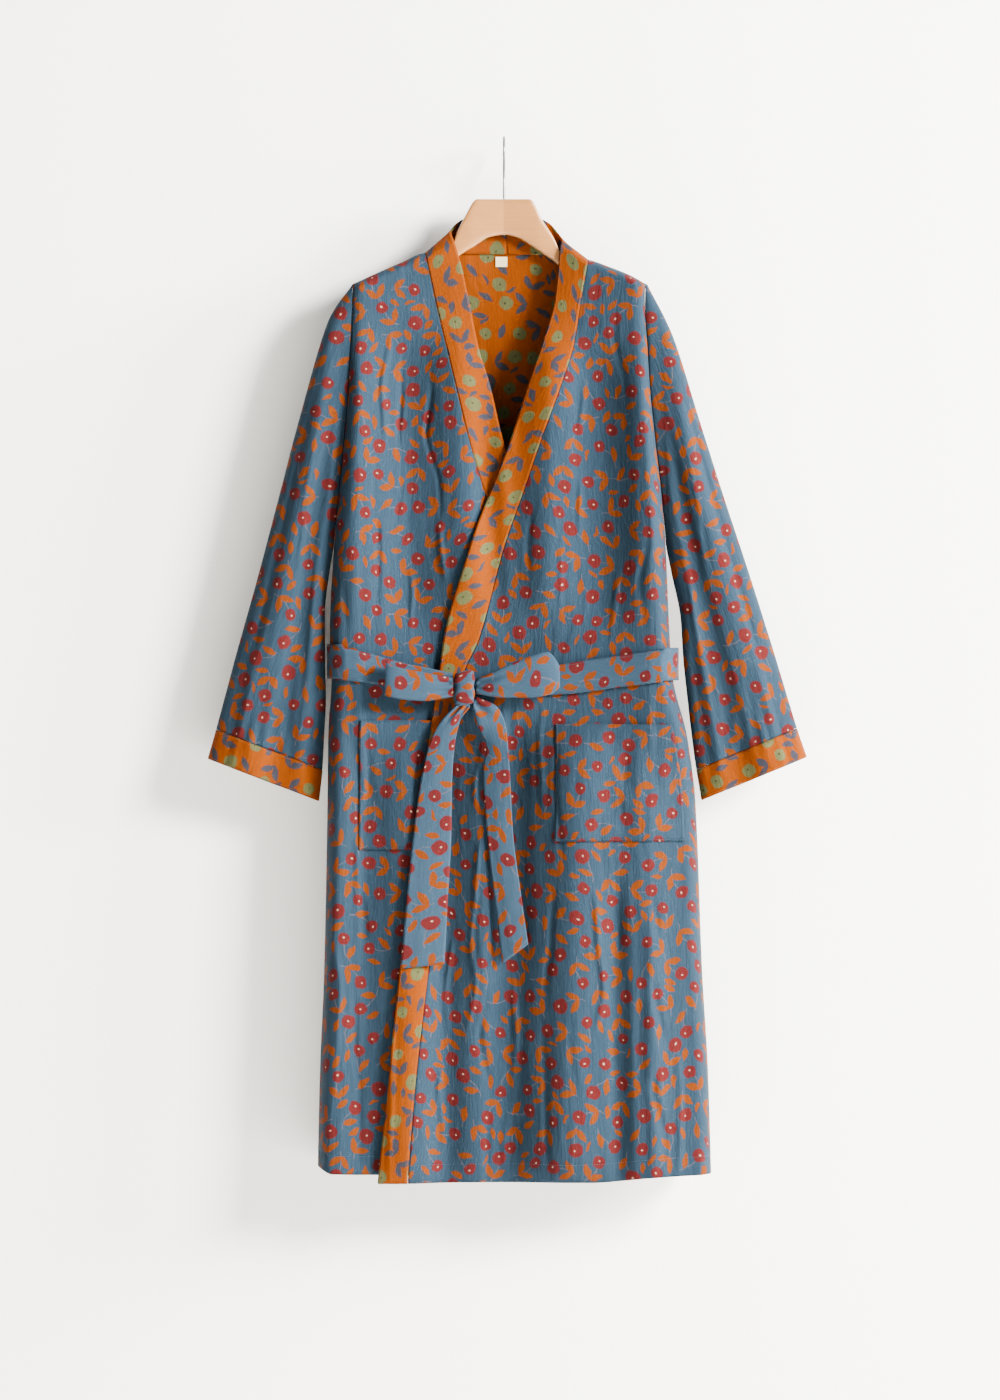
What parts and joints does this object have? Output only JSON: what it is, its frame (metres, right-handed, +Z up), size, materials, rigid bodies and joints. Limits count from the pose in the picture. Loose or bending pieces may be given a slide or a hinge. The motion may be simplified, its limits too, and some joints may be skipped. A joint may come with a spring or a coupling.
{
  "type": "kimono robe on a clothes hanger",
  "caption": "Kimono robe of flowered double gauze with an orange band and cuffs, tied with its belt and hung on a wooden hanger.",
  "frame": {"origin": "top of the inside of the hook's crook, where a rail carries it", "axes": "+Z up, -Y to the front of the robe, +X to the wearer's left"},
  "size_m": [0.72, 0.1089, 1.2574],
  "materials": {
    "back": "matt crinkled cotton double gauze",
    "front_right": "matt crinkled cotton double gauze",
    "front_left": "matt crinkled cotton double gauze",
    "band_right": "matt cotton, reverse side out",
    "band_left": "matt cotton, reverse side out",
    "pocket_right": "matt crinkled cotton double gauze",
    "pocket_left": "matt crinkled cotton double gauze",
    "sleeve_right": "matt crinkled cotton double gauze",
    "sleeve_left": "matt crinkled cotton double gauze",
    "cuff_right": "matt cotton, reverse side out",
    "cuff_left": "matt cotton, reverse side out",
    "belt": "matt cotton",
    "belt_knot": "matt cotton",
    "bow_loop_right": "matt cotton",
    "bow_loop_left": "matt cotton",
    "belt_end_right": "matt cotton",
    "belt_end_left": "matt cotton",
    "label": "woven tape",
    "hanger": "smooth clear coat",
    "hook": "bright wire"
  },
  "bodies": {
    "root": {"back": "back", "front_right": "front_right", "front_left": "front_left", "band_right": "band_right", "band_left": "band_left", "pocket_right": "pocket_right", "pocket_left": "pocket_left", "sleeve_right": "sleeve_right", "sleeve_left": "sleeve_left", "cuff_right": "cuff_right", "cuff_left": "cuff_left", "belt": "belt", "belt_knot": "belt_knot", "bow_loop_right": "bow_loop_right", "bow_loop_left": "bow_loop_left", "belt_end_right": "belt_end_right", "belt_end_left": "belt_end_left", "label": "label", "hanger": "hanger", "hook": "hook"}
  },
  "joints": []
}
